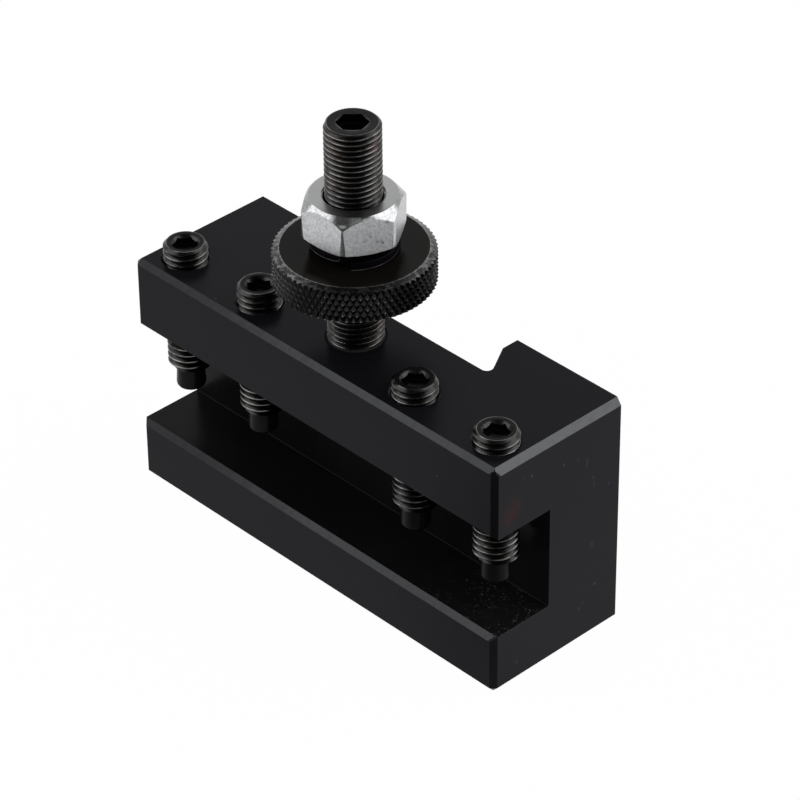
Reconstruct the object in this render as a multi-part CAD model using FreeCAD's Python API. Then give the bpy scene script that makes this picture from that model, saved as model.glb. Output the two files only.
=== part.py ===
import FreeCAD, Part
import math
import os
from FreeCAD import Vector

# Quick change tool holder for a lathe tool post, in millimetres.
# X runs along the tool, Y from the open front to the dovetail, Z up.
# The origin is on the underside, below the axis of the height stud.

# body block
body_length = 88.9
lower_jaw = 11.8
slot_height = 20.2
upper_jaw = 14.2
slot_depth = 13.05
edge_chamfer = 0.95
right_chamfer_drop = 1.35

# dovetail socket, open at the top and the bottom
web_thickness = 6.05
dovetail_depth = 10.5
dovetail_mouth = 40.6
dovetail_land = 3.5
flank_angle = 30.0
root_radius = 1.2

# clamping screws
screw_diameter = 8.0
screw_length = 30.0
screw_from_front = 6.65
screw_end_distance = 6.2
dog_diameter = 5.3
dog_length = 4.4
dog_edge = 0.8
screw_key = 4.0
screw_reaches = [12.6, 12.3, 12.95, 13.5]
screw_turns = [55.0, 25.0, 41.0, 37.0]

# height stud and its blind hole
stud_diameter = 10.0
stud_length = 50.0
stud_seat = 8.0
stud_from_front = 11.3
stud_key = 5.0
stud_turn = 46.9
hole_relief = 0.3
hole_mouth = 0.4
drill_point_angle = 118.0

# knurled height nut
knurl_lift = 11.2
knurl_diameter = 28.0
knurl_thickness = 6.7
knurl_bevel_width = 1.3
knurl_bevel_height = 0.65
knurl_tooth = 1.2
knurl_depth = 0.45
knurl_angle = 30.0

# split lock washer
washer_diameter = 15.4
washer_wire = 1.5
washer_rise = 1.5
washer_gap_angle = 16.0
washer_gap_place = -56.0
washer_steps = 35

# hexagon lock nut
hex_flats = 16.0
hex_thickness = 7.4
hex_top_circle = 15.0
hex_top_drop = 2.0
hex_under_circle = 15.6
hex_under_drop = 0.6
hex_edge_radius = 0.8
hex_turn = 4.2

# fits, small edges and how far a cut reaches past the face it opens
thread_clearance = 0.04
washer_clearance = 0.2
nut_countersink = 0.4
thread_bevel = 0.8
socket_mouth = 0.25
overcut = 1.0

# worked out from the sizes above
body_height = lower_jaw + slot_height + upper_jaw
slot_floor = lower_jaw
slot_roof = lower_jaw + slot_height
front = -stud_from_front
slot_back = front + slot_depth
dovetail_root = slot_back + web_thickness
back = dovetail_root + dovetail_depth
half_length = body_length / 2
screw_y = front + screw_from_front
knurl_bottom = body_height + knurl_lift
knurl_top = knurl_bottom + knurl_thickness
washer_height = washer_wire + washer_rise
hex_bottom = knurl_top + washer_height
screw_spacing = (half_length - screw_end_distance) / 2
screw_places = [-2 * screw_spacing, -screw_spacing, screw_spacing, 2 * screw_spacing]


def cylinder(radius, low, high, x=0.0, y=0.0):
    return Part.makeCylinder(radius, high - low, Vector(x, y, low))


def turned(points):
    """A solid turned about Z from points given as (radius, height)."""
    corners = [Vector(radius, 0, height) for radius, height in points]
    outline = Part.makePolygon(corners + corners[:1])
    return Part.Face(outline).revolve(Vector(), Vector(0, 0, 1), 360)


def hexagon_prism(flats, low, high, turn):
    radius = flats / math.sqrt(3)
    angles = [math.radians(turn + 60 * side) for side in range(6)]
    corners = [Vector(radius * math.cos(a), radius * math.sin(a), low) for a in angles]
    outline = Part.Face(Part.makePolygon(corners + corners[:1]))
    return outline.extrude(Vector(0, 0, high - low))


def key_socket(flats, depth, top, turn):
    """A broached hexagon with a broken edge at its mouth."""
    corner = flats / math.sqrt(3)
    hexagon = hexagon_prism(flats, top - depth, top + socket_mouth, turn)
    mouth = turned([(0, top - socket_mouth), (corner - socket_mouth, top - socket_mouth),
                    (corner + socket_mouth, top + socket_mouth), (0, top + socket_mouth)])
    return hexagon.fuse(mouth)


def tapped_hole(diameter, low, high, x, y):
    """A plain bore at the thread's size, with a countersunk mouth at its upper end."""
    radius = diameter / 2 + thread_clearance
    mouth = turned([(0, high - hole_mouth), (radius, high - hole_mouth),
                    (radius + 2 * hole_mouth, high + hole_mouth), (0, high + hole_mouth)])
    mouth.translate(Vector(x, y, 0))
    return cylinder(radius, low, high + hole_mouth, x, y).fuse(mouth)


def edges_between(shape, inside):
    """The edges of a shape whose two ends both pass a test."""
    return [e for e in shape.Edges if all(inside(v.Point) for v in e.Vertexes)]


def near(a, b):
    return abs(a - b) < 1e-4


def outer_block():
    """The block with its top, bottom and upright front edges chamfered, and a sharp back."""
    block = Part.makeBox(body_length, back - front, body_height, Vector(-half_length, front, 0))

    def outside(edge):
        a, b = [v.Point for v in edge.Vertexes]
        on_back = near(a.y, back) and near(b.y, back)
        return not on_back

    return block.makeChamfer(edge_chamfer, [e for e in block.Edges if outside(e)]).cut(end_wedge())


def end_wedge():
    """What makes the top edge of the right end steeper than the other chamfers."""
    inner = Vector(half_length - edge_chamfer, front - overcut, body_height)
    along = Vector(edge_chamfer, 0, -right_chamfer_drop)
    corners = [inner - along, inner + along * 2, Vector(half_length + overcut, front - overcut, body_height + overcut)]
    outline = Part.Face(Part.makePolygon(corners + corners[:1]))
    return outline.extrude(Vector(0, back - front + 2 * overcut, 0))


def tool_slot(block):
    slot = Part.makeBox(body_length + 2 * overcut, slot_depth + overcut, slot_height,
                        Vector(-half_length - overcut, front - overcut, slot_floor))
    jawed = block.cut(slot)
    lips = edges_between(jawed, lambda p: near(p.y, front)
                         and (near(p.z, slot_floor) or near(p.z, slot_roof)))
    return jawed.makeChamfer(edge_chamfer, lips)


def dovetail_cutter():
    """The socket's outline: a straight land, a flank at 30 degrees and a rounded root corner."""
    mouth = dovetail_mouth / 2
    land = back - dovetail_land
    root_half = mouth + (land - dovetail_root) * math.tan(math.radians(flank_angle))
    right = [Vector(mouth, back + overcut, -overcut), Vector(mouth, land, -overcut),
             Vector(root_half, dovetail_root, -overcut)]
    left = [Vector(-p.x, p.y, p.z) for p in reversed(right)]
    outline = Part.Face(Part.makePolygon(right + left + right[:1]))
    cutter = outline.extrude(Vector(0, 0, body_height + 2 * overcut))
    corners = edges_between(cutter, lambda p: near(abs(p.x), root_half) and near(p.y, dovetail_root))
    return cutter.makeFillet(root_radius, [e for e in corners if e.Length > body_height])


def stud_hole():
    """Blind, with the cone that the drill leaves."""
    floor = body_height - stud_seat - hole_relief
    radius = stud_diameter / 2 + thread_clearance
    point = radius / math.tan(math.radians(drill_point_angle / 2))
    cone = turned([(0, floor), (radius, floor), (0, floor - point)])
    return tapped_hole(stud_diameter, floor, body_height, 0, 0).fuse(cone)


def holder_body():
    body = tool_slot(outer_block()).cut(dovetail_cutter())
    holes = [tapped_hole(screw_diameter, slot_roof - overcut, body_height, x, screw_y)
             for x in screw_places]
    return body.cut(holes + [stud_hole()])


def height_stud():
    radius = stud_diameter / 2
    low = body_height - stud_seat
    high = low + stud_length
    shank = turned([(0, low), (radius - thread_bevel, low), (radius, low + thread_bevel),
                    (radius, high - thread_bevel), (radius - thread_bevel, high), (0, high)])
    return shank.cut(key_socket(stud_key, stud_key, high, stud_turn))


def set_screw(number):
    """A clamping screw with a dog point, standing in its hole at its own height."""
    radius = screw_diameter / 2
    dog = dog_diameter / 2
    low = slot_roof - screw_reaches[number]
    high = low + screw_length
    shoulder = low + dog_length
    foot = []
    for angle in (0, 30, 60, 90):
        out = dog_edge * math.sin(math.radians(angle))
        up = dog_edge * (1 - math.cos(math.radians(angle)))
        foot.append((dog - dog_edge + out, low + up))
    screw = turned([(0, low)] + foot + [(dog, shoulder), (radius, shoulder + thread_bevel),
                   (radius, high - thread_bevel), (radius - thread_bevel, high), (0, high)])
    screw = screw.cut(key_socket(screw_key, screw_key, high, screw_turns[number]))
    screw.translate(Vector(screw_places[number], screw_y, 0))
    return screw


def knurl_rings():
    """Rings of points from the lower face to the upper one, outermost edges first and last.

    On each ring the tooth tips and the crossings of the grooves take turns, and each ring is
    half a tooth on from the one below it, so that the grooves run both ways round the nut.
    """
    tip = knurl_diameter / 2
    floor = tip - knurl_depth
    face = tip - knurl_bevel_width
    teeth = round(math.pi * knurl_diameter / knurl_tooth)
    band_low = knurl_bottom + knurl_bevel_height
    band_high = knurl_top - knurl_bevel_height
    row_height = knurl_tooth / 2 / math.tan(math.radians(knurl_angle))
    rows = max(2, round((band_high - band_low) / row_height))
    lift = knurl_depth * knurl_bevel_height / knurl_bevel_width
    step = math.pi / teeth

    def ring(radii, heights):
        return [Vector(radii[n % 2] * math.cos(n * step), radii[n % 2] * math.sin(n * step),
                       heights[n % 2]) for n in range(2 * teeth)]

    rings = [ring([face, face], [knurl_bottom, knurl_bottom])]
    for row in range(rows + 1):
        height = band_low + (band_high - band_low) * row / rows
        crossing = height
        if row == 0:
            crossing = height - lift
        if row == rows:
            crossing = height + lift
        if row % 2 == 0:
            rings.append(ring([tip, floor], [height, crossing]))
        else:
            rings.append(ring([floor, tip], [crossing, height]))
    rings.append(ring([face, face], [knurl_top, knurl_top]))
    return rings


def skin(rings):
    """A solid of triangles between rings of equally many points, closed by its end rings."""
    faces = []
    for index in range(len(rings) - 1):
        first = rings[index]
        second = rings[index + 1]
        count = len(first)
        for n in range(count):
            following = (n + 1) % count
            a, b, c, d = first[n], first[following], second[following], second[n]
            if (index + n) % 2 == 0:
                corners = [(a, b, c), (a, c, d)]
            else:
                corners = [(a, b, d), (b, c, d)]
            faces += [Part.Face(Part.makePolygon([p, q, r, p])) for p, q, r in corners]
    for ring in (rings[0], rings[-1]):
        faces.append(Part.Face(Part.makePolygon(ring + ring[:1])))
    shell = Part.makeShell(faces)
    shell.sewShape()
    solid = Part.Solid(shell)
    if solid.Volume < 0:
        solid.reverse()
    return solid


def knurled_nut():
    """Small triangles make the diamond knurl and its bevelled ends."""
    return skin(knurl_rings()).cut(nut_bore(knurl_bottom, knurl_top))


def nut_bore(low, high):
    """A threaded bore as a plain one, countersunk at both ends."""
    radius = stud_diameter / 2 + thread_clearance
    mouth = radius + nut_countersink
    return turned([(0, low), (mouth, low), (radius, low + nut_countersink),
                   (radius, high - nut_countersink), (mouth, high), (0, high)])


def lock_washer():
    """One turn of flat wire with a gap, its sections climbing from one end to the other."""
    inner = stud_diameter / 2 + washer_clearance
    outer = washer_diameter / 2
    start = washer_gap_place + washer_gap_angle / 2
    sweep = 360 - washer_gap_angle
    sections = []
    for step in range(washer_steps + 1):
        share = step / washer_steps
        angle = math.radians(start + sweep * share)
        low = knurl_top + washer_rise * share
        sections.append([Vector(radius * math.cos(angle), radius * math.sin(angle), height)
                         for radius, height in [(inner, low), (inner, low + washer_wire),
                                                (outer, low + washer_wire), (outer, low)]])
    return skin(sections)


def hex_nut():
    """A hexagon turned down at both ends, so that each flat ends in an arc."""
    corner = hex_flats / math.sqrt(3)
    high = hex_bottom + hex_thickness
    outside = corner + overcut
    top_slope = hex_top_drop / (corner - hex_top_circle / 2)
    under_slope = hex_under_drop / (corner - hex_under_circle / 2)
    rim = turned([(0, hex_bottom), (hex_under_circle / 2, hex_bottom),
                  (outside, hex_bottom + under_slope * (outside - hex_under_circle / 2)),
                  (outside, high - top_slope * (outside - hex_top_circle / 2)),
                  (hex_top_circle / 2, high), (0, high)])
    prism = hexagon_prism(hex_flats, hex_bottom, high, hex_turn)
    uprights = [e for e in prism.Edges if near(e.Length, hex_thickness)]
    prism = prism.makeFillet(hex_edge_radius, uprights)
    return prism.common(rim).cut(nut_bore(hex_bottom, high))


def all_pieces():
    pieces = {
        "holder_body": holder_body(),
        "height_stud": height_stud(),
        "knurled_nut": knurled_nut(),
        "lock_washer": lock_washer(),
        "hex_nut": hex_nut(),
    }
    for number in range(len(screw_places)):
        pieces["set_screw_" + str(number + 1)] = set_screw(number)
    return pieces


os.makedirs("parts", exist_ok=True)
for name, shape in all_pieces().items():
    solids = shape.Solids
    piece = solids[0] if len(solids) == 1 else Part.makeCompound(solids)
    piece.exportStep("parts/" + name + ".step")
    print(name, len(solids), "solid", round(shape.Volume, 1), "mm3", "valid", shape.isValid())
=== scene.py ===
import bpy, bmesh, math
from mathutils import Matrix, Vector


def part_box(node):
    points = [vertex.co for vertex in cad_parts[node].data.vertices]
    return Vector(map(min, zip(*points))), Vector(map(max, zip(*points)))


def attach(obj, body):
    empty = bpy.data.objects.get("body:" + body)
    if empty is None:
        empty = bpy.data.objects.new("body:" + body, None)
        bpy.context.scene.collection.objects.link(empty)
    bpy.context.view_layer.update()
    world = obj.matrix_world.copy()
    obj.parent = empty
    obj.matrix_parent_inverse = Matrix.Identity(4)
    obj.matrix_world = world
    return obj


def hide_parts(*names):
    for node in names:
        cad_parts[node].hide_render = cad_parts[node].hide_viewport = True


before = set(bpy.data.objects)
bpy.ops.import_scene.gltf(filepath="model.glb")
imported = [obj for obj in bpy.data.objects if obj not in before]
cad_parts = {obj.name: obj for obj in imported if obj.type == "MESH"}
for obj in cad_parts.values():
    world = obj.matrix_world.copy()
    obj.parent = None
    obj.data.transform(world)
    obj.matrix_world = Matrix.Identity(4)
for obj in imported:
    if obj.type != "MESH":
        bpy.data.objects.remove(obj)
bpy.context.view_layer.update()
mm = 0.001
up = Vector((0, 0, 1))
white = (1, 1, 1, 1)
print("frame loaded:", len(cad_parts), "nodes")


# one class for shader sockets, so that a pattern can be written as a sum
class Wire:
    def __init__(self, tree, socket):
        self.tree = tree
        self.socket = socket

    def node(self, kind, settings, values, output=0):
        made = self.tree.nodes.new(kind)
        for name, value in settings.items():
            setattr(made, name, value)
        for name, value in values.items():
            if isinstance(value, Wire):
                self.tree.links.new(value.socket, made.inputs[name])
            else:
                made.inputs[name].default_value = value
        return Wire(self.tree, made.outputs[output])

    def maths(self, operation, *values):
        return self.node("ShaderNodeMath", {"operation": operation}, dict(enumerate(values)))

    def __add__(self, other):
        return self.maths("ADD", self, other)

    def __sub__(self, other):
        return self.maths("SUBTRACT", self, other)

    def __rsub__(self, other):
        return self.maths("SUBTRACT", other, self)

    def __mul__(self, other):
        return self.maths("MULTIPLY", self, other)

    def __truediv__(self, other):
        return self.maths("DIVIDE", self, other)

    __radd__ = __add__
    __rmul__ = __mul__

    def most(self, other):
        return self.maths("MAXIMUM", self, other)

    def absolute(self):
        return self.maths("ABSOLUTE", self)

    def rise(self, start, end):
        # 0 below start, 1 above end, smooth between
        settings = {"interpolation_type": "SMOOTHSTEP"}
        values = {"Value": self, "From Min": start, "From Max": end}
        return self.node("ShaderNodeMapRange", settings, values)

    def near(self, centre, reach):
        # 1 at the centre, 0 beyond the reach
        return 1 - (self - centre).absolute().rise(0.0, reach)

    def swing(self, amount):
        # turns a noise of 0 to 1 into one about zero, of that amount from end to end
        return amount * (self - 0.5)

    def part(self, axis):
        return self.node("ShaderNodeSeparateXYZ", {}, {"Vector": self}, axis)

    def vector(self, operation, other):
        return self.node("ShaderNodeVectorMath", {"operation": operation}, {0: self, 1: other})

    def length(self):
        return self.node("ShaderNodeVectorMath", {"operation": "LENGTH"}, {0: self}, 1)

    def dot(self, other):
        return self.node("ShaderNodeVectorMath", {"operation": "DOT_PRODUCT"}, {0: self, 1: other}, 1)

    def fromAxis(self):
        # how far a place lies from the Z axis
        return self.vector("MULTIPLY", (1, 1, 0)).length()

    def attribute(self, name):
        # a number kept on the mesh's points
        return self.node("ShaderNodeAttribute", {"attribute_name": name}, {}, 2)

    def noise(self, scale, detail=3.0, roughness=0.5, squeeze=(1, 1, 1)):
        # a noise in turns for each metre, 0 to 1, stretched along an axis with a small squeeze
        place = self.node("ShaderNodeMapping", {}, {"Vector": self, "Scale": squeeze})
        values = {"Vector": place, "Scale": scale, "Detail": detail, "Roughness": roughness}
        return self.node("ShaderNodeTexNoise", {}, values)

    def noises(self, table):
        return {name: self.noise(**values) for name, values in table.items()}

    def bump(self, distance):
        return self.node("ShaderNodeBump", {}, {"Height": self, "Distance": distance, "Strength": 1.0})

    def blendColour(self, first, second):
        # self is how much of the second colour shows; a Mix node keeps its colours in sockets 6 and 7
        return self.node("ShaderNodeMix", {"data_type": "RGBA"}, {0: self, 6: first, 7: second}, 2)


def grey(shade, warm=0.0):
    # a linear grey, a little red or a little blue
    return (shade * (1 + warm), shade, shade * (1 - warm), 1)


def newMaterial(name, finish, varying):
    # the specular values are the same all over, and varying gives the links that change over the surface
    material = bpy.data.materials.new(name)
    material.use_nodes = True
    tree = material.node_tree
    shader = tree.nodes["Principled BSDF"]
    shader.inputs["Specular IOR Level"].default_value = finish["specular"]
    shader.inputs["Specular Tint"].default_value = finish.get("tint", white)
    coordinates = tree.nodes.new("ShaderNodeTexCoord")
    place = Wire(tree, coordinates.outputs["Object"])
    facing = Wire(tree, coordinates.outputs["Normal"])
    for socket, wire in varying(place, facing).items():
        tree.links.new(wire.socket, shader.inputs[socket])
    return material


def spotMask(place, centre, reach, core, drawn=1.0):
    # 1 round a centre given in mm and 0 beyond the reach; it stays 1 over the core's share of the reach
    offset = place.vector("SUBTRACT", [c * mm for c in centre])
    away = offset.vector("MULTIPLY", (1, 1, 1 / drawn)).length()
    return 1 - away.rise(core * reach * mm, reach * mm)


def marksMask(place, marks, core):
    total = 0.0
    for centre, reach, strength, drawn in marks:
        total = total + strength * spotMask(place, centre, reach, core, drawn)
    return total


# Each finish has its colours and strengths, its noises, and its rises. A rise is the two values between
# which a mask goes from 0 to 1: of a noise, of how far a face turns to an axis, or of a place.

# the block: black oxide on ground faces, thinner on the chamfers,
# whose lighter colour is partly that finish and partly painted sheen

blockFinish = {
    "dark": (0.0050, 0.0050, 0.0052, 1),
    "light": (0.0068, 0.0068, 0.0071, 1),
    "outside": (0.0058, 0.0057, 0.0076, 1),
    "outsideShare": 0.8,
    "endFace": (0.0108, 0.0105, 0.0127, 1),
    # the chamfers' colours: lighter partly by their finish and partly by painted sheen, the end one most
    "bevel": grey(0.066, -0.02),
    "endBevel": grey(0.145, -0.03),
    "bevelShine": 0.75,
    "bevelCloud": 0.2,
    "bevelBrushed": 0.3,
    "bevelLeft": 0.40,
    "speck": grey(0.07),
    "dustShare": 0.8,
    # the colour of the painted highlights along the slot's floor edges, and how faint the right one is
    "line": grey(0.045),
    "endHighlightShare": 0.7,
    "smear": (0.034, 0.011, 0.009, 1),
    "smearTop": (0.020, 0.017, 0.008, 1),
    "smearEven": 0.4,
    "roughness": 0.26,
    "cloudRoughness": 0.10,
    "grainRoughness": 0.08,
    "grainDepth": 0.004 * mm,
    "specular": 0.052,
    "tint": (0.94, 0.94, 1.10, 1),
}

blockNoises = {
    "cloud": {"scale": 60.0, "detail": 4.0},
    "grain": {"scale": 900.0, "detail": 2.0, "roughness": 0.6, "squeeze": (0.06, 1, 1)},
    "dots": {"scale": 2600.0, "detail": 1.0},
    "dotPatches": {"scale": 260.0, "detail": 2.0},
    "brushed": {"scale": 1400.0, "detail": 3.0, "roughness": 0.6, "squeeze": (1, 0.35, 0.35)},
    "blots": {"scale": 500.0, "detail": 2.0},
}

blockRises = {
    "cloud": (0.3, 0.7),
    "brushed": (0.3, 0.7),
    "blots": (0.3, 0.7),
    "dots": (0.62, 0.70),
    "dotPatches": (0.40, 0.60),
    "bevelFromSide": (0.40, 0.50),
    "bevelToTop": (0.80, 0.90),
    "endBevel": (0.45, 0.65),
    "endFace": (0.8, 0.95),
    "rightwards": (-30 * mm, 5 * mm),
    "dusty": (22 * mm, 36 * mm),
    "behindSlot": (1.75 * mm, 1.80 * mm),
    "onTop": (46.0 * mm, 46.15 * mm),
    "behindFront": (-11.3 * mm, -11.2 * mm),
    "uprightCorner": (54.25 * mm, 54.40 * mm),
    "seam": (0.35, 0.60),
    "belowTopFace": (0.02 * mm, 0.10 * mm),
    "smearTop": (0.1, 0.8),
    "smear": (-0.3, 1.0),
}

# where painted highlights run along the slot's edges: place and reach of each line
slotLines = {
    "floor": (11.8 * mm, 0.12 * mm),
    "back": (1.75 * mm, 0.13 * mm),
    "end": (44.45 * mm, 0.12 * mm),
}

# where the two top chamfers meet at the right: the corner of the top face, and the chamfers' slopes
topCorner = {"x": 43.5 * mm, "y": -10.35 * mm, "slope": 1.42}

smearPlace = {"y": -7.0 * mm, "z": 36.2 * mm, "width": 2.5 * mm, "height": 3.8 * mm, "lean": 1.0 * mm}

# small light marks: place and reach in mm, how strongly they show and how drawn out they are upright
speckCore = 0.3
specks = [
    ((44.45, -2.7, 41.2), 0.34, 0.6, 1.3),
    ((44.45, -4.6, 41.7), 0.25, 0.3, 2.0),
    ((44.45, 4.8, 39.5), 0.34, 0.35, 1.6),
    ((44.45, 8.2, 38.7), 0.32, 0.2, 1.8),
    ((44.45, 10.4, 37.2), 0.40, 0.2, 4.0),
    ((44.45, 12.0, 33.3), 0.36, 0.25, 1.6),
    ((44.45, 12.2, 31.8), 0.28, 0.2, 4.0),
    ((44.45, 15.8, 30.2), 0.30, 0.3, 1.5),
    ((44.45, 12.0, 19.3), 0.70, 0.2, 1.6),
    ((44.45, 12.9, 10.5), 0.45, 0.5, 1.0),
    ((44.45, 10.1, 7.9), 0.50, 0.2, 1.0),
    ((44.45, 9.2, 7.0), 0.55, 0.2, 1.0),
    ((44.45, -5.8, 4.0), 0.35, 0.3, 1.5),
    ((31.1, -11.3, 38.6), 0.22, 0.6, 1.0),
    ((-24.9, -9.6, 46.2), 0.22, 0.9, 1.0),
    ((38.0, -2.3, 11.8), 0.20, 0.9, 1.0),
    ((38.0, 1.5, 11.8), 0.16, 0.7, 1.0),
    ((29.8, -3.0, 11.8), 0.25, 0.9, 1.0),
    ((34.4, -4.0, 11.8), 0.25, 0.9, 1.0),
]


def blockDust(noises, x, lowest):
    dots = noises["dots"].rise(*blockRises["dots"]) * noises["dotPatches"].rise(*blockRises["dotPatches"])
    return dots * lowest * x.rise(*blockRises["dusty"])


def slotEdgeHighlight(x, y, lowest):
    # a painted highlight along the back of the slot's floor, and a fainter one along its right edge
    inSlot = 1 - y.rise(*blockRises["behindSlot"])
    endEdgeHighlight = blockFinish["endHighlightShare"] * x.near(*slotLines["end"]) * inSlot
    return lowest * (y.near(*slotLines["back"]) + endEdgeHighlight)


def topSeam(x, y):
    # a thin dark seam where the two top chamfers meet
    inX = x - topCorner["x"]
    inY = topCorner["y"] - y
    spread = (inY - topCorner["slope"] * inX).absolute() / (inX + inY)
    return (1 - spread.rise(*blockRises["seam"])) * (inX + inY).rise(*blockRises["belowTopFace"])


def bevelWearAndSheen(noises, x, y, slope, end):
    # how much the upper chamfers shine, partly their own finish with brushed marks and partly painted
    # sheen, which is fainter on the left, fullest on the end chamfer, and dark at the upright corner and
    # the seam
    bevel = slope.rise(*blockRises["bevelFromSide"]) * (1 - slope.rise(*blockRises["bevelToTop"]))
    brushed = noises["brushed"].rise(*blockRises["brushed"])
    shine = blockFinish["bevelShine"] + blockFinish["bevelCloud"] * noises["cloud"]
    shine = shine + blockFinish["bevelBrushed"] * brushed
    left = blockFinish["bevelLeft"]
    frontShare = left + (1 - left) * x.rise(*blockRises["rightwards"])
    dark = (x - y).rise(*blockRises["uprightCorner"]).most(topSeam(x, y))
    return bevel * shine * (end + (1 - end) * frontShare) * (1 - dark)


def smearMask(along, y):
    # a soft upright patch that leans
    across = (y - smearPlace["y"] - along * smearPlace["lean"]) / smearPlace["width"]
    return 1 - (along * along + across * across).rise(*blockRises["smear"])


def blockVarying(place, facing):
    x, y, z = [place.part(axis) for axis in range(3)]
    noises = place.noises(blockNoises)
    slope = facing.part(2)
    end = facing.part(0).rise(*blockRises["endBevel"])
    side = facing.part(0).rise(*blockRises["endFace"])
    lowest = z.near(*slotLines["floor"])
    outside = z.rise(*blockRises["onTop"]).most(1 - y.rise(*blockRises["behindFront"]))
    cloudy = noises["cloud"].rise(*blockRises["cloud"])
    colour = cloudy.blendColour(blockFinish["dark"], blockFinish["light"])
    colour = (outside * blockFinish["outsideShare"]).blendColour(colour, blockFinish["outside"])
    colour = side.blendColour(colour, blockFinish["endFace"])
    # the end chamfer's lighter colour is painted sheen
    bevelShade = end.blendColour(blockFinish["bevel"], blockFinish["endBevel"])
    colour = bevelWearAndSheen(noises, x, y, slope, end).blendColour(colour, bevelShade)
    colour = marksMask(place, specks, speckCore).blendColour(colour, blockFinish["speck"])
    dust = blockDust(noises, x, lowest) * blockFinish["dustShare"]
    colour = dust.blendColour(colour, blockFinish["speck"])
    # painted highlights along the slot's floor edges
    colour = slotEdgeHighlight(x, y, lowest).blendColour(colour, blockFinish["line"])
    along = (z - smearPlace["z"]) / smearPlace["height"]
    smear = along.rise(*blockRises["smearTop"]).blendColour(blockFinish["smear"], blockFinish["smearTop"])
    even = blockFinish["smearEven"]
    blotted = smearMask(along, y) * side * (even + (1 - even) * noises["blots"].rise(*blockRises["blots"]))
    colour = blotted.blendColour(colour, smear)
    roughness = blockFinish["roughness"] + noises["cloud"].swing(blockFinish["cloudRoughness"])
    roughness = roughness + noises["grain"].swing(blockFinish["grainRoughness"])
    normal = noises["grain"].bump(blockFinish["grainDepth"])
    return {"Base Color": colour, "Roughness": roughness, "Normal": normal}


# screws and stud: black oxide, rubbed to metal on the crests of the thread

threadFinish = {
    "base": grey(0.004, 0.02),
    "socket": grey(0.12),
    "flank": grey(0.030, 0.02),
    "crest": grey(0.19, 0.02),
    "stain": (0.037, 0.030, 0.028, 1),
    "roughness": 0.25,
    "scratchRoughness": 0.14,
    "cloudRoughness": 0.10,
    "scratchDepth": 0.01 * mm,
    "specular": 0.07,
}

threadNoises = {
    "cloud": {"scale": 420.0, "detail": 3.0},
    "scratch": {"scale": 1500.0, "detail": 2.0, "roughness": 0.6, "squeeze": (1, 1, 0.2)},
    "stain": {"scale": 180.0, "detail": 2.0},
}

threadRises = {
    "outOfSocket": (-0.6, -0.2),
    "metal": (0.05, 0.25),
    "crest": (0.88, 1.0),
    "crestPatches": (0.32, 0.62),
    "stainPatches": (0.48, 0.62),
    "offStud": (5.3 * mm, 5.6 * mm),
}


def threadVarying(place, facing):
    # the dictionary "wear" gives the attribute's values; only the stud, which is on the axis, is stained
    wearAndSheen = place.attribute("wearAndSheen")
    noises = place.noises(threadNoises)
    metal = wearAndSheen.rise(*threadRises["metal"])
    crest = wearAndSheen.rise(*threadRises["crest"]) * noises["cloud"].rise(*threadRises["crestPatches"])
    onStud = 1 - place.fromAxis().rise(*threadRises["offStud"])
    stain = onStud * noises["stain"].rise(*threadRises["stainPatches"])
    flank = stain.blendColour(threadFinish["flank"], threadFinish["stain"])
    outOfSocket = wearAndSheen.rise(*threadRises["outOfSocket"])
    plain = outOfSocket.blendColour(threadFinish["socket"], threadFinish["base"])
    colour = metal.blendColour(plain, crest.blendColour(flank, threadFinish["crest"]))
    roughness = threadFinish["roughness"] + noises["scratch"].swing(threadFinish["scratchRoughness"])
    roughness = roughness + noises["cloud"].swing(threadFinish["cloudRoughness"])
    normal = noises["scratch"].bump(threadFinish["scratchDepth"])
    return {"Base Color": colour, "Metallic": metal, "Roughness": roughness, "Normal": normal}


# height nut: turned and knurled, semi-gloss black oxide

knurlFinish = {
    "base": grey(0.0044, 0.16),
    "band": grey(0.018),
    "worn": grey(0.18),
    "edge": grey(0.26, 0.05),
    "tip": grey(0.15, 0.02),
    "scuffed": 0.12,
    "streaked": 0.75,
    "footWorn": 0.4,
    "edgeEven": 0.4,
    "roughness": 0.15,
    "rimRoughness": 0.12,
    "cloudRoughness": 0.08,
    "ringStep": 0.16 * mm,
    "ringDepth": 0.0012 * mm,
    "specular": 0.05,
}

knurlNoises = {
    "cloud": {"scale": 500.0, "detail": 3.0},
    "speckle": {"scale": 1400.0, "detail": 2.0},
    "streak": {"scale": 800.0, "detail": 4.0, "roughness": 0.7},
}

# the places are measured from the rim, and are negative inside it
knurlRises = {
    "speckle": (0.42, 0.60),
    "streak": (0.45, 0.62),
    "upwards": (0.5, 0.8),
    "rim": (-1.40 * mm, -1.25 * mm),
    "tip": (-0.16 * mm, -0.04 * mm),
}

# the bright edge of the flat top, and the foot of the bevel: place from the rim, and reach
knurlLines = {"edge": (-1.32 * mm, 0.15 * mm), "foot": (-0.40 * mm, 0.35 * mm)}


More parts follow.
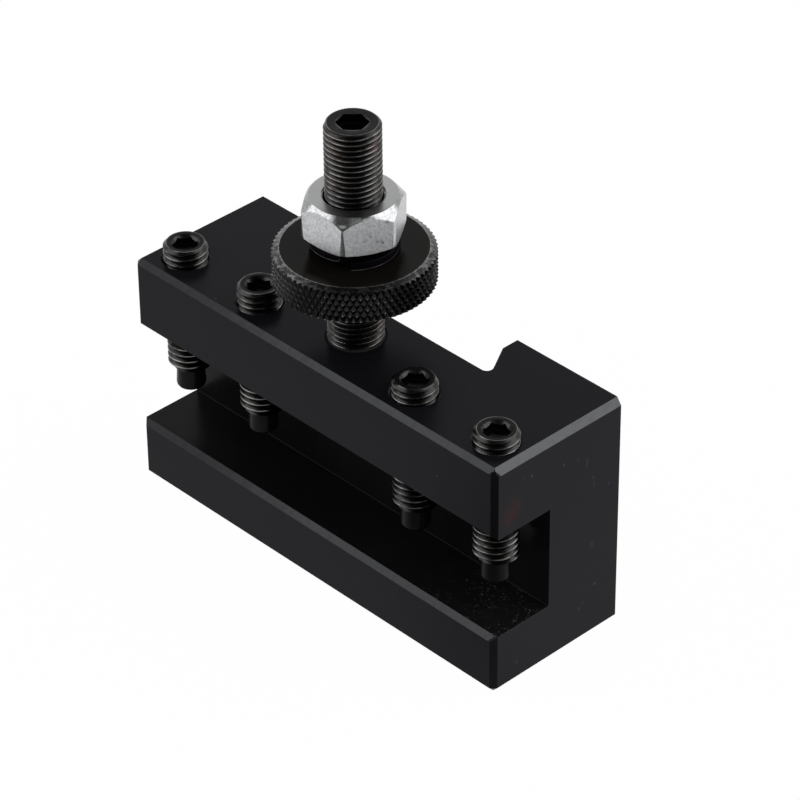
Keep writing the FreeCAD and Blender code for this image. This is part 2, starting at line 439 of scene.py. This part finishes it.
def knurlVarying(place, facing):
    radius = place.fromAxis()
    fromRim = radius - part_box("knurled_nut")[1].x
    upwards = facing.part(2).rise(*knurlRises["upwards"])
    noises = place.noises(knurlNoises)
    speckle = noises["speckle"].rise(*knurlRises["speckle"])
    rim = fromRim.rise(*knurlRises["rim"])
    ramp = rim * upwards
    edge = fromRim.near(*knurlLines["edge"]) * upwards
    foot = fromRim.near(*knurlLines["foot"]) * ramp
    tip = fromRim.rise(*knurlRises["tip"])
    colour = rim.blendColour(knurlFinish["base"], knurlFinish["band"])
    colour = (tip * speckle).blendColour(colour, knurlFinish["tip"])
    streak = knurlFinish["streaked"] * noises["streak"].rise(*knurlRises["streak"])
    scuffed = ramp * (knurlFinish["scuffed"] + streak) + foot * speckle * knurlFinish["footWorn"]
    colour = scuffed.blendColour(colour, knurlFinish["worn"])
    even = knurlFinish["edgeEven"]
    colour = (edge * (even + (1 - even) * speckle)).blendColour(colour, knurlFinish["edge"])
    rimmed = knurlFinish["roughness"] + knurlFinish["rimRoughness"] * rim
    roughness = rimmed + noises["cloud"].swing(knurlFinish["cloudRoughness"])
    rings = radius.maths("SINE", radius * (2 * math.pi / knurlFinish["ringStep"]))
    normal = (rings * (1 - rim)).bump(knurlFinish["ringDepth"])
    return {"Base Color": colour, "Metallic": rim.most(edge), "Roughness": roughness, "Normal": normal}


# lock washer: blued spring steel, with a painted highlight along its lower outer edge

washerFinish = {
    "dark": (0.0020, 0.0015, 0.0027, 1),
    "light": (0.0036, 0.0027, 0.0046, 1),
    # the colour of the painted highlight line
    "edge": grey(0.26, 0.05),
    "edgeEven": 0.5,
    "roughness": 0.30,
    "cloudRoughness": 0.15,
    "specular": 0.05,
}

washerNoises = {"cloud": {"scale": 600.0, "detail": 3.0}}

washerRises = {"blued": (0.3, 0.7), "wearAndSheen": (0.45, 0.75), "edgePatches": (0.35, 0.60)}


def washerVarying(place, facing):
    # the attribute is 1 on the lower outer edge, where a bright line is painted as a highlight
    wearAndSheen = place.attribute("wearAndSheen")
    cloud = place.noises(washerNoises)["cloud"]
    blued = cloud.rise(*washerRises["blued"]).blendColour(washerFinish["dark"], washerFinish["light"])
    even = washerFinish["edgeEven"]
    patches = even + (1 - even) * cloud.rise(*washerRises["edgePatches"])
    line = wearAndSheen.rise(*washerRises["wearAndSheen"]) * patches
    colour = line.blendColour(blued, washerFinish["edge"])
    roughness = washerFinish["roughness"] + cloud.swing(washerFinish["cloudRoughness"])
    return {"Base Color": colour, "Roughness": roughness}


# lock nut: bright zinc plate with fine scratches and a few dark nicks

hexNut = {
    "flats": 16.0 * mm,
    "topCircle": 7.5 * mm,
    "topDrop": 2.0 * mm,
    "underCircle": 7.8 * mm,
    "underDrop": 0.6 * mm,
    "underStep": 0.02 * mm,
    "cornerTop": 9.13 * mm,
    "cornerFoot": 8.95 * mm,
    "turn": math.radians(4.2),
    "bore": 5.04 * mm,
    "countersink": 0.4 * mm,
    "softening": 0.10 * mm,
    "softenedFrom": 20.0,
    "shadedTo": 60.0,
    "offsets": [-30, -25, -20, -15, -10, -6, -3, 0, 3, 6, 10, 15, 20, 25],
}

zincFinish = {
    "side": grey(0.58, -0.015),
    # the chamfer and the flat top are darker than the sides as painted shade
    "chamfer": grey(0.37, -0.015),
    "top": grey(0.36, -0.005),
    "patch": grey(0.232, -0.02),
    "nick": grey(0.04, -0.06),
    "patchShare": 0.45,
    "patchOnTurned": 0.25,
    "nickShare": 0.6,
    "sideMetal": 0.88,
    "sideRoughness": 0.34,
    "cornerRoughness": 0.24,
    "turnedRoughness": 0.14,
    "flatRoughness": 0.16,
    "cloudRoughness": 0.12,
    "fineRoughness": 0.14,
    "bumpMottle": 1.5,
    "bumpCloud": 2.0,
    "bumpDepth": 0.006 * mm,
    "specular": 0.5,
}

zincNoises = {
    "cloud": {"scale": 260.0, "detail": 4.0},
    "mottle": {"scale": 2000.0, "detail": 4.0, "roughness": 0.7},
    "fine": {"scale": 2600.0, "detail": 3.0, "roughness": 0.65},
    "nick": {"scale": 900.0, "detail": 2.0, "roughness": 0.7, "squeeze": (1, 1, 2.2)},
}

# the corner is measured out from the middle of a corner's flat
zincRises = {
    "nick": (0.68, 0.74),
    "mottle": (0.38, 0.62),
    "marks": (0.94, 1.06),
    "turned": (0.25, 0.45),
    "flat": (0.93, 0.98),
    "corner": (-0.03 * mm, -0.01 * mm),
}

# a painted reflection: a small bright matte spot in the dark front of the top chamfer: place, reach and
# height in mm
nutGlint = {"place": (4.65, -6.9, 73.2), "reach": 0.9, "height": 0.35}

# dark marks on the nut: place and reach in mm, how strongly they show and how drawn out they are upright
markCore = 0.4
nutMarks = [
    ((8.2, -1.4, 69.2), 0.45, 0.9, 1.0),
    ((8.1, -1.7, 68.8), 0.30, 0.9, 1.0),
    ((7.9, -2.1, 69.5), 0.30, 0.6, 1.0),
    ((6.9, -4.1, 70.2), 0.60, 0.4, 1.0),
    ((7.3, -3.2, 70.7), 0.35, 0.5, 1.0),
    ((-2.9, -8.2, 68.5), 0.45, 0.7, 1.0),
    ((8.3, -0.5, 72.9), 0.60, 1.0, 1.0),
]


def cornerMask(place):
    # 1 on the narrow flats that cut the nut's corners
    low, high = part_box("hex_nut")
    lean = (hexNut["cornerTop"] - hexNut["cornerFoot"]) / (high.z - low.z - hexNut["topDrop"])
    beyond = place.fromAxis() - (place.part(2) - low.z) * lean
    return (beyond - hexNut["cornerFoot"]).rise(*zincRises["corner"])


# where the reflection is painted
def glintMask(place):
    level = place.part(2).near(nutGlint["place"][2] * mm, nutGlint["height"] * mm)
    return spotMask(place, nutGlint["place"], nutGlint["reach"], markCore) * level


def zincVarying(place, facing):
    noises = place.noises(zincNoises)
    cloud, mottle, fine = [noises[name] for name in ("cloud", "mottle", "fine")]
    turned = facing.part(2).rise(*zincRises["turned"])
    flat = facing.part(2).rise(*zincRises["flat"])
    corner = cornerMask(place) * (1 - turned)
    # darker chamfer and flat top: painted shade
    colour = turned.blendColour(zincFinish["side"], zincFinish["chamfer"])
    colour = flat.blendColour(colour, zincFinish["top"])
    patchShare = zincFinish["patchShare"] + zincFinish["patchOnTurned"] * turned
    patches = mottle.rise(*zincRises["mottle"]) * patchShare * (1 - flat)
    colour = patches.blendColour(colour, zincFinish["patch"])
    nicks = noises["nick"].rise(*zincRises["nick"]) * zincFinish["nickShare"] * (1 - flat)
    marks = marksMask(place, nutMarks, markCore) * (mottle + fine).rise(*zincRises["marks"])
    colour = (nicks + marks).blendColour(colour, zincFinish["nick"])
    sideMetal = zincFinish["sideMetal"]
    # the metal is taken away in the painted reflection, so that it shows as a bright matte spot
    metal = (sideMetal + (1 - sideMetal) * turned.most(corner)) * (1 - glintMask(place))
    sideRoughness = zincFinish["sideRoughness"]
    sides = sideRoughness + (zincFinish["cornerRoughness"] - sideRoughness) * corner
    roughness = turned * zincFinish["turnedRoughness"] + (1 - turned) * sides
    roughness = roughness + zincFinish["flatRoughness"] * flat
    roughness = roughness + cloud.swing(zincFinish["cloudRoughness"])
    roughness = roughness + fine.swing(zincFinish["fineRoughness"])
    height = fine + mottle * zincFinish["bumpMottle"] + cloud * zincFinish["bumpCloud"]
    normal = height.bump(zincFinish["bumpDepth"])
    return {"Base Color": colour, "Metallic": metal, "Roughness": roughness, "Normal": normal}


finishes = {
    "blockBlack": newMaterial("blockBlack", blockFinish, blockVarying),
    "threadBlack": newMaterial("threadBlack", threadFinish, threadVarying),
    "knurlBlack": newMaterial("knurlBlack", knurlFinish, knurlVarying),
    "washerBlued": newMaterial("washerBlued", washerFinish, washerVarying),
    "zincBright": newMaterial("zincBright", zincFinish, zincVarying),
}
print("materials made:", len(finishes))


# shared steps for turned pieces

# how near two points count as one, an edge counts as none and a point counts as on a cutting plane
hairs = {"point": 0.002 * mm, "edge": 0.001 * mm, "cut": 0.0001 * mm}


def polar(vert):
    return math.hypot(vert.co.x, vert.co.y), math.atan2(vert.co.y, vert.co.x)


def setPolar(vert, radius, angle, height):
    vert.co = (radius * math.cos(angle), radius * math.sin(angle), height)


def onlyEdges(made):
    return [g for g in made if isinstance(g, bmesh.types.BMEdge)]


def pointsOf(edges):
    # each point once, in the order of the edges
    return list(dict.fromkeys(v for e in edges for v in e.verts))


def nextLoop(bm, edges, place, worn=0.0):
    # extrudes an edge loop and puts each new vertex where place(angle) says: (radius, height)
    made = bmesh.ops.extrude_edge_only(bm, edges=edges)["geom"]
    wearAndSheen = bm.verts.layers.float.get("wearAndSheen")
    for vert in [g for g in made if isinstance(g, bmesh.types.BMVert)]:
        angle = polar(vert)[1]
        radius, height = place(angle)
        setPolar(vert, radius, angle, height)
        if wearAndSheen:
            vert[wearAndSheen] = worn
    return onlyEdges(made)


def at(radius, height):
    return lambda angle: (radius, height)


def closeLoop(bm, edges, height):
    # fills a loop with triangles that meet at a point on the axis
    ends = nextLoop(bm, edges, at(0.0, height))
    bmesh.ops.pointmerge(bm, verts=pointsOf(ends), merge_co=(0, 0, height))


def turnAll(bm, angle):
    bmesh.ops.rotate(bm, verts=bm.verts, cent=(0, 0, 0), matrix=Matrix.Rotation(angle, 3, "Z"))


def spinRound(bm, geometry, sweep, steps, climb):
    # spins a profile about the Z axis, with a climb over the whole sweep
    bmesh.ops.spin(bm, geom=geometry, cent=(0, 0, 0), axis=up, dvec=up * climb / steps, angle=sweep,
                   steps=steps, use_merge=False, use_duplicate=False)


def cutAway(bm, place, direction):
    # cuts off what lies beyond a plane, and gives the edges of the cut
    everything = bm.verts[:] + bm.edges[:] + bm.faces[:]
    made = bmesh.ops.bisect_plane(bm, geom=everything, dist=hairs["cut"], plane_co=place,
                                  plane_no=direction, clear_outer=True)
    return onlyEdges(made["geom_cut"])


def softenEdges(bm, sharperThan, width):
    # rounds every edge that is sharper than an angle in degrees
    bmesh.ops.recalc_face_normals(bm, faces=bm.faces)
    edges = [e for e in bm.edges if e.calc_face_angle(0.0) > math.radians(sharperThan)]
    bmesh.ops.bevel(bm, geom=edges, offset=width, offset_type="OFFSET", affect="EDGES", segments=2,
                    profile=0.5, material=-1, clamp_overlap=True)


def hexagonRadius(angle, apothem, turn):
    # how far a hexagon's outline lies at an angle, with a corner at the turn
    offset = (angle - turn + math.pi / 6) % (math.pi / 3) - math.pi / 6
    return apothem / math.cos(math.pi / 6 - abs(offset))


def finishPiece(bm, name, body, material, node, shadedTo=35.0, centre=(0, 0)):
    # edges are shaded smooth up to that angle in degrees
    bmesh.ops.remove_doubles(bm, verts=bm.verts, dist=hairs["point"])
    bmesh.ops.dissolve_degenerate(bm, edges=bm.edges, dist=hairs["edge"])
    bmesh.ops.recalc_face_normals(bm, faces=bm.faces)
    bmesh.ops.translate(bm, verts=bm.verts, vec=(centre[0], centre[1], 0))
    for face in bm.faces:
        face.smooth = True
    for edge in bm.edges:
        edge.smooth = edge.is_manifold and edge.calc_face_angle(0.0) < math.radians(shadedTo)
    mesh = bpy.data.meshes.new(name)
    bm.to_mesh(mesh)
    bm.free()
    mesh.materials.append(finishes[material])
    piece = bpy.data.objects.new(name, mesh)
    bpy.context.scene.collection.objects.link(piece)
    even = piece.modifiers.new("even", "WEIGHTED_NORMAL")
    even.keep_sharp = True
    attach(piece, body)
    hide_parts(node)
    print("made", name, len(mesh.polygons), "faces")


# screw threads: every turn's profile spun once round with a climb of one pitch

# the profile over one pitch: how far along, and how far out from root (0) to crest (1)
threadShape = [(-0.11, 0.93), (-0.06, 1.0), (0.06, 1.0), (0.11, 0.93),
               (0.36, 0.10), (0.42, 0.0), (0.58, 0.0), (0.64, 0.10)]

studThread = {"pitch": 1.0 * mm, "bevel": 0.6 * mm, "rubbedOff": 0.12 * mm}
screwThread = {"pitch": 1.25 * mm, "bevel": 0.6 * mm, "rubbedOff": 0.04 * mm}

# depth, lead and merge are shares of the pitch, and core is a share of the rod's radius
threadCut = {"depth": 0.6134, "lead": 1.5, "merge": 0.01, "core": 0.3, "steps": 48}

# the values of the attribute for wear and the washer's painted sheen: over a thread's flanks it goes from
# root to rim
wear = {"root": 0.3, "bevel": 0.6, "mouth": 0.7, "rim": 1.0, "plain": 0.0, "socket": -1.0, "foot": -0.35}

rimWidth = 0.09 * mm


def threadedRod(radius, low, high, thread, limit, turn):
    bm = bmesh.new()
    wearAndSheen = bm.verts.layers.float.new("wearAndSheen")
    pitch = thread["pitch"]
    depth = threadCut["depth"] * pitch
    first = low - threadCut["lead"] * pitch
    count = math.ceil((high - first) / pitch) + 1
    crest = radius - thread["rubbedOff"]
    points = []
    for number in range(count):
        for along, share in threadShape:
            height = first + (number + along) * pitch
            points.append(bm.verts.new((crest - depth * (1 - share), 0, height)))
    edges = [bm.edges.new(pair) for pair in zip(points, points[1:])]
    spinRound(bm, points + edges, 2 * math.pi, threadCut["steps"], pitch)
    bmesh.ops.remove_doubles(bm, verts=bm.verts, dist=threadCut["merge"] * pitch)
    turnAll(bm, turn)
    for vert in bm.verts:
        out, angle = polar(vert)
        vert[wearAndSheen] = wear["root"] + (wear["rim"] - wear["root"]) * max(0.0, 1 - (crest - out) / depth)
        most = limit(vert.co.z)
        if out > most:
            vert[wearAndSheen] = wear["bevel"]
            setPolar(vert, max(most, threadCut["core"] * radius), angle, vert.co.z)
    return bm


def roundEnd(bm, edges, radius, height, edgeWear):
    # sets a square cut on a circle with a thin edge of that wear, and gives the next loop in
    wearAndSheen = bm.verts.layers.float.get("wearAndSheen")
    for vert in pointsOf(edges):
        setPolar(vert, radius, polar(vert)[1], height)
        vert[wearAndSheen] = edgeWear
    edges = nextLoop(bm, edges, at(radius - rimWidth, height), edgeWear)
    return nextLoop(bm, edges, at(radius - 2 * rimWidth, height), wear["plain"])


# the drilled hole below a key socket, its radius and its cone's depth as shares of the key's width
drilled = {"radius": 0.47, "cone": 0.25}


def cutSocket(bm, edges, top, socket, turn):
    # a broached hexagon with a coned mouth and a drilled cone below
    apothem = socket["key"] / 2
    bottom = top - socket["depth"]
    start = socket["key"] / math.sqrt(3) + socket["mouth"]

    def edgeOfHexagon(angle):
        radius = hexagonRadius(angle, apothem, turn)
        return radius, top - socket["slope"] * (start - radius)

    def bottomOfHexagon(angle):
        return hexagonRadius(angle, apothem, turn), bottom

    edges = nextLoop(bm, edges, at(start, top), wear["plain"])
    edges = nextLoop(bm, edges, edgeOfHexagon, wear["mouth"])
    edges = nextLoop(bm, edges, bottomOfHexagon, wear["socket"])
    edges = nextLoop(bm, edges, at(socket["key"] * drilled["radius"], bottom), wear["socket"])
    closeLoop(bm, edges, bottom - socket["key"] * drilled["cone"])


heightStud = {
    "key": 5.0 * mm,
    "depth": 5.0 * mm,
    "mouth": 0.06 * mm,
    "slope": 0.25,
    "turn": math.radians(46.9),
    "sunk": 0.02 * mm,
}


def makeHeightStud():
    low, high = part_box("height_stud")
    radius = high.x
    bevel = studThread["bevel"]
    rim = radius - bevel
    turn = heightStud["turn"]

    def limit(height):
        return rim + min(high.z - height, height - low.z)

    bm = threadedRod(radius, low.z, high.z, studThread, limit, turn)
    top = roundEnd(bm, cutAway(bm, up * high.z, up), rim, high.z, wear["rim"])
    cutSocket(bm, top, high.z, heightStud, turn)
    # below the block's top the stud is plain
    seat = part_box("holder_body")[1].z - heightStud["sunk"]
    edges = cutAway(bm, up * seat, -up)
    wearAndSheen = bm.verts.layers.float.get("wearAndSheen")
    for vert in pointsOf(edges):
        vert[wearAndSheen] = wear["foot"]
    edges = nextLoop(bm, edges, at(radius, seat), wear["foot"])
    edges = nextLoop(bm, edges, at(radius, low.z + bevel), wear["plain"])
    edges = nextLoop(bm, edges, at(rim, low.z), wear["plain"])
    closeLoop(bm, edges, low.z)
    finishPiece(bm, "heightStud", "holder", "threadBlack", "height_stud")


clampScrews = {
    "key": 4.0 * mm,
    "depth": 4.0 * mm,
    "mouth": 0.3 * mm,
    "slope": 1.0,
    "turns": [55.0, 25.0, 41.0, 37.0],
    "dogRadius": 2.65 * mm,
    "dogLength": 4.4 * mm,
    "dogEdge": 0.8 * mm,
    "edgeSteps": 4,
}


def makeClampScrew(number):
    node = "set_screw_" + str(number)
    low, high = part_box(node)
    centre = (low + high) / 2
    radius = (high.x - low.x) / 2
    bevel = screwThread["bevel"]
    dog = clampScrews["dogRadius"]
    shoulder = low.z + clampScrews["dogLength"]
    turn = math.radians(clampScrews["turns"][number - 1])

    def limit(height):
        upper = radius - bevel + high.z - height
        lower = dog + (height - shoulder) * (radius - dog) / bevel
        return min(upper, lower)

    bm = threadedRod(radius, shoulder, high.z, screwThread, limit, turn)
    top = roundEnd(bm, cutAway(bm, up * high.z, up), radius - bevel, high.z, wear["rim"])
    cutSocket(bm, top, high.z, clampScrews, turn)
    edges = roundEnd(bm, cutAway(bm, up * shoulder, -up), dog, shoulder, wear["plain"])
    edge = clampScrews["dogEdge"]
    for step in range(clampScrews["edgeSteps"] + 1):
        angle = math.pi / 2 * step / clampScrews["edgeSteps"]
        ring = at(dog - edge * (1 - math.cos(angle)), low.z + edge * (1 - math.sin(angle)))
        edges = nextLoop(bm, edges, ring, wear["plain"])
    closeLoop(bm, edges, low.z)
    name = "clampScrew" + str(number)
    finishPiece(bm, name, node, "threadBlack", node, centre=(centre.x, centre.y))


makeHeightStud()
for number in range(1, 5):
    makeClampScrew(number)
print("threads cut")


lockWasher = {
    "inner": 5.2 * mm,
    "wire": 1.5 * mm,
    "gap": math.radians(16.0),
    "gapPlace": math.radians(-56.0),
    "softening": 0.14 * mm,
    "softenedFrom": 50.0,
    "shadedTo": 50.0,
    # how far up the outer face the painted highlight reaches
    "sheenHeight": 0.40 * mm,
    "steps": 70,
}


def makeLockWasher():
    low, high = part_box("lock_washer")
    wire = lockWasher["wire"]
    inner = lockWasher["inner"]
    outer = high.x
    gap = lockWasher["gap"]
    bm = bmesh.new()
    wearAndSheen = bm.verts.layers.float.new("wearAndSheen")
    corners = [(inner, low.z), (outer, low.z), (outer, low.z + lockWasher["sheenHeight"]),
               (outer, low.z + wire), (inner, low.z + wire)]
    section = [bm.verts.new((radius, 0, height)) for radius, height in corners]
    # the lower outer corner carries the painted highlight line
    section[1][wearAndSheen] = wear["rim"]
    face = bm.faces.new(section)
    turnAll(bm, lockWasher["gapPlace"] + gap / 2)
    profile = face.verts[:] + face.edges[:] + [face]
    spinRound(bm, profile, 2 * math.pi - gap, lockWasher["steps"], high.z - low.z - wire)
    softenEdges(bm, lockWasher["softenedFrom"], lockWasher["softening"])
    finishPiece(bm, "splitWasher", "lock_washer", "washerBlued", "lock_washer",
                shadedTo=lockWasher["shadedTo"])


def makeHexNut():
    low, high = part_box("hex_nut")
    apothem = hexNut["flats"] / 2
    corner = apothem / math.cos(math.pi / 6)
    turn = hexNut["turn"]
    topSlope = hexNut["topDrop"] / (corner - hexNut["topCircle"])
    underSlope = hexNut["underDrop"] / (corner - hexNut["underCircle"])
    mouth = hexNut["bore"] + hexNut["countersink"]

    def outline(angle):
        return hexagonRadius(angle, apothem, turn)

    def shoulder(angle):
        radius = outline(angle)
        return radius, high.z - topSlope * max(0.0, radius - hexNut["topCircle"])

    def foot(angle):
        radius = outline(angle)
        return radius, low.z + underSlope * max(0.0, radius - hexNut["underCircle"])

    def underside(angle):
        return min(outline(angle) - hexNut["underStep"], hexNut["underCircle"]), low.z

    bm = bmesh.new()
    angles = [turn + math.radians(60 * side + offset) for side in range(6) for offset in hexNut["offsets"]]
    start = [bm.verts.new((mouth * math.cos(a), mouth * math.sin(a), high.z)) for a in angles]
    edges = [bm.edges.new(pair) for pair in zip(start, start[1:] + start[:1])]
    lowBore = at(hexNut["bore"], low.z + hexNut["countersink"])
    highBore = at(hexNut["bore"], high.z - hexNut["countersink"])
    topCircle = at(hexNut["topCircle"], high.z)
    for loop in [topCircle, shoulder, foot, underside, at(mouth, low.z), lowBore, highBore]:
        edges = nextLoop(bm, edges, loop)
    bmesh.ops.bridge_loops(bm, edges=[e for e in bm.edges if e.is_boundary])
    for side in range(6):
        flattenCorner(bm, low.z, high.z - hexNut["topDrop"], turn + side * math.pi / 3)
    softenEdges(bm, hexNut["softenedFrom"], hexNut["softening"])
    finishPiece(bm, "zincNut", "hex_nut", "zincBright", "hex_nut",
                shadedTo=hexNut["shadedTo"])


def flattenCorner(bm, foot, shoulder, angle):
    # cuts a corner back by a narrow flat, wider at its foot
    outward = Vector((math.cos(angle), math.sin(angle), 0))
    rise = up * (shoulder - foot) + outward * (hexNut["cornerTop"] - hexNut["cornerFoot"])
    square = up.cross(outward).cross(rise).normalized()
    cut = cutAway(bm, outward * hexNut["cornerFoot"] + up * foot, square)
    bmesh.ops.holes_fill(bm, edges=cut, sides=0)


makeLockWasher()
makeHexNut()

for node, material in {"holder_body": "blockBlack", "knurled_nut": "knurlBlack"}.items():
    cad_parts[node].material_slots[0].material = finishes[material]
print("pieces dressed")


# studio: a pale floor and horizon and two softboxes, and for reflections a dark ceiling and dark patches

studio = {
    "floorSize": 8.0,
    "floorSides": 64,
    "floorColour": 0.85,
    "backdropShare": 0.985,
    "ambient": 0.5,
    "ceiling": 0.05,
    "ceilingStart": 0.64,
    "ceilingEnd": 0.84,
    "flagShade": 0.04,
    "lampsAimAt": Vector((0, 0, 0.04)),
}

# dark places on the floor that only reflections see
floorFlags = [
    {"place": (65 * mm, -80 * mm, 0), "core": 36 * mm, "clear": 88 * mm},
    {"place": (300 * mm, -285 * mm, 0), "core": 130 * mm, "clear": 250 * mm},
]

# dark patches round the horizon that only reflections see, as cosines of their half angles
skyPatches = [
    {"towards": (0.195, -0.680, 0.707), "core": 0.975, "clear": 0.935, "depth": 0.93},
    {"towards": (0.682, -0.661, 0.309), "core": 0.945, "clear": 0.810, "depth": 0.90},
]

# the distances and sizes in metres, and the power in watts
softboxes = [
    {"name": "leftBox", "direction": (-0.592, -0.576, 0.564), "distance": 0.9, "size": 0.8, "power": 3.2},
    {"name": "backBox", "direction": (0.576, 0.564, 0.592), "distance": 0.9, "size": 0.8, "power": 3.8},
]


def raysThatSee(tree):
    # two wires: 1 for camera rays, and 1 for glossy and transmission rays
    rays = tree.nodes.new("ShaderNodeLightPath")
    camera, glossy, through = [Wire(tree, rays.outputs[name])
                               for name in ("Is Camera Ray", "Is Glossy Ray", "Is Transmission Ray")]
    return camera, glossy.most(through)


def makeFloor():
    bm = bmesh.new()
    radius = studio["floorSize"] / 2
    bmesh.ops.create_circle(bm, cap_ends=True, segments=studio["floorSides"], radius=radius)
    mesh = bpy.data.meshes.new("floor")
    bm.to_mesh(mesh)
    bm.free()
    floor = bpy.data.objects.new("floor", mesh)
    bpy.context.scene.collection.objects.link(floor)
    material = bpy.data.materials.new("paleFloor")
    material.use_nodes = True
    tree = material.node_tree
    shader = tree.nodes["Principled BSDF"]
    shader.inputs["Base Color"].default_value = grey(studio["floorColour"])
    shader.inputs["Roughness"].default_value = 1.0
    shader.inputs["Specular IOR Level"].default_value = 0.0
    place = Wire(tree, tree.nodes.new("ShaderNodeTexCoord").outputs["Object"])
    shade = studio["flagShade"]
    bright = 1.0
    for flag in floorFlags:
        away = place.vector("SUBTRACT", flag["place"]).length()
        bright = bright * (shade + (1 - shade) * away.rise(flag["core"], flag["clear"]))
    camera, mirrored = raysThatSee(tree)
    strength = camera + mirrored * bright
    glow = strength.node("ShaderNodeEmission", {}, {"Strength": strength})
    seen = camera.most(mirrored) * studio["backdropShare"]
    mixed = seen.node("ShaderNodeMixShader", {}, {0: seen, 1: Wire(tree, shader.outputs[0]), 2: glow})
    tree.links.new(mixed.socket, tree.nodes["Material Output"].inputs["Surface"])
    mesh.materials.append(material)


def makeWorld():
    # white to the camera, and to reflections white with a dark ceiling and the dark patches
    world = bpy.data.worlds.new("studio")
    bpy.context.scene.world = world
    world.use_nodes = True
    tree = world.node_tree
    direction = Wire(tree, tree.nodes.new("ShaderNodeTexCoord").outputs["Generated"])
    dark = direction.part(2).rise(studio["ceilingStart"], studio["ceilingEnd"])
    for patch in skyPatches:
        towards = direction.dot(patch["towards"])
        dark = dark.most(towards.rise(patch["clear"], patch["core"]) * patch["depth"])
    camera, mirrored = raysThatSee(tree)
    mirroredLight = 1 - (1 - studio["ceiling"]) * dark
    strength = camera + (1 - camera) * (mirrored * mirroredLight + (1 - mirrored) * studio["ambient"])
    background = tree.nodes["Background"]
    tree.links.new(strength.socket, background.inputs["Strength"])
    background.inputs["Color"].default_value = white


def makeSoftbox(values):
    light = bpy.data.lights.new(values["name"], "AREA")
    light.shape = "SQUARE"
    light.size = values["size"]
    light.energy = values["power"]
    lamp = bpy.data.objects.new(values["name"], light)
    bpy.context.scene.collection.objects.link(lamp)
    direction = Vector(values["direction"]).normalized()
    lamp.location = direction * values["distance"] + studio["lampsAimAt"]
    lamp.rotation_euler = direction.to_track_quat("Z", "Y").to_euler()


photoCamera = {
    "place": (408.66 * mm, -379.01 * mm, 425.45 * mm),
    "azimuth": math.radians(46.403),
    "elevation": math.radians(35.182),
    "roll": math.radians(-0.551),
    "lens": 179.256,
    "sensor": 36.0,
}


def makeCamera():
    data = bpy.data.cameras.new("photoCamera")
    data.lens = photoCamera["lens"]
    data.sensor_width = photoCamera["sensor"]
    camera = bpy.data.objects.new("photoCamera", data)
    bpy.context.scene.collection.objects.link(camera)
    turned = Matrix.Rotation(photoCamera["azimuth"], 4, "Z")
    tipped = Matrix.Rotation(math.pi / 2 - photoCamera["elevation"], 4, "X")
    rolled = Matrix.Rotation(photoCamera["roll"], 4, "Z")
    camera.matrix_world = Matrix.Translation(photoCamera["place"]) @ turned @ tipped @ rolled
    bpy.context.scene.camera = camera


makeFloor()
makeWorld()
for values in softboxes:
    makeSoftbox(values)
makeCamera()
bpy.context.scene.view_settings.view_transform = "Standard"
print("studio lit")
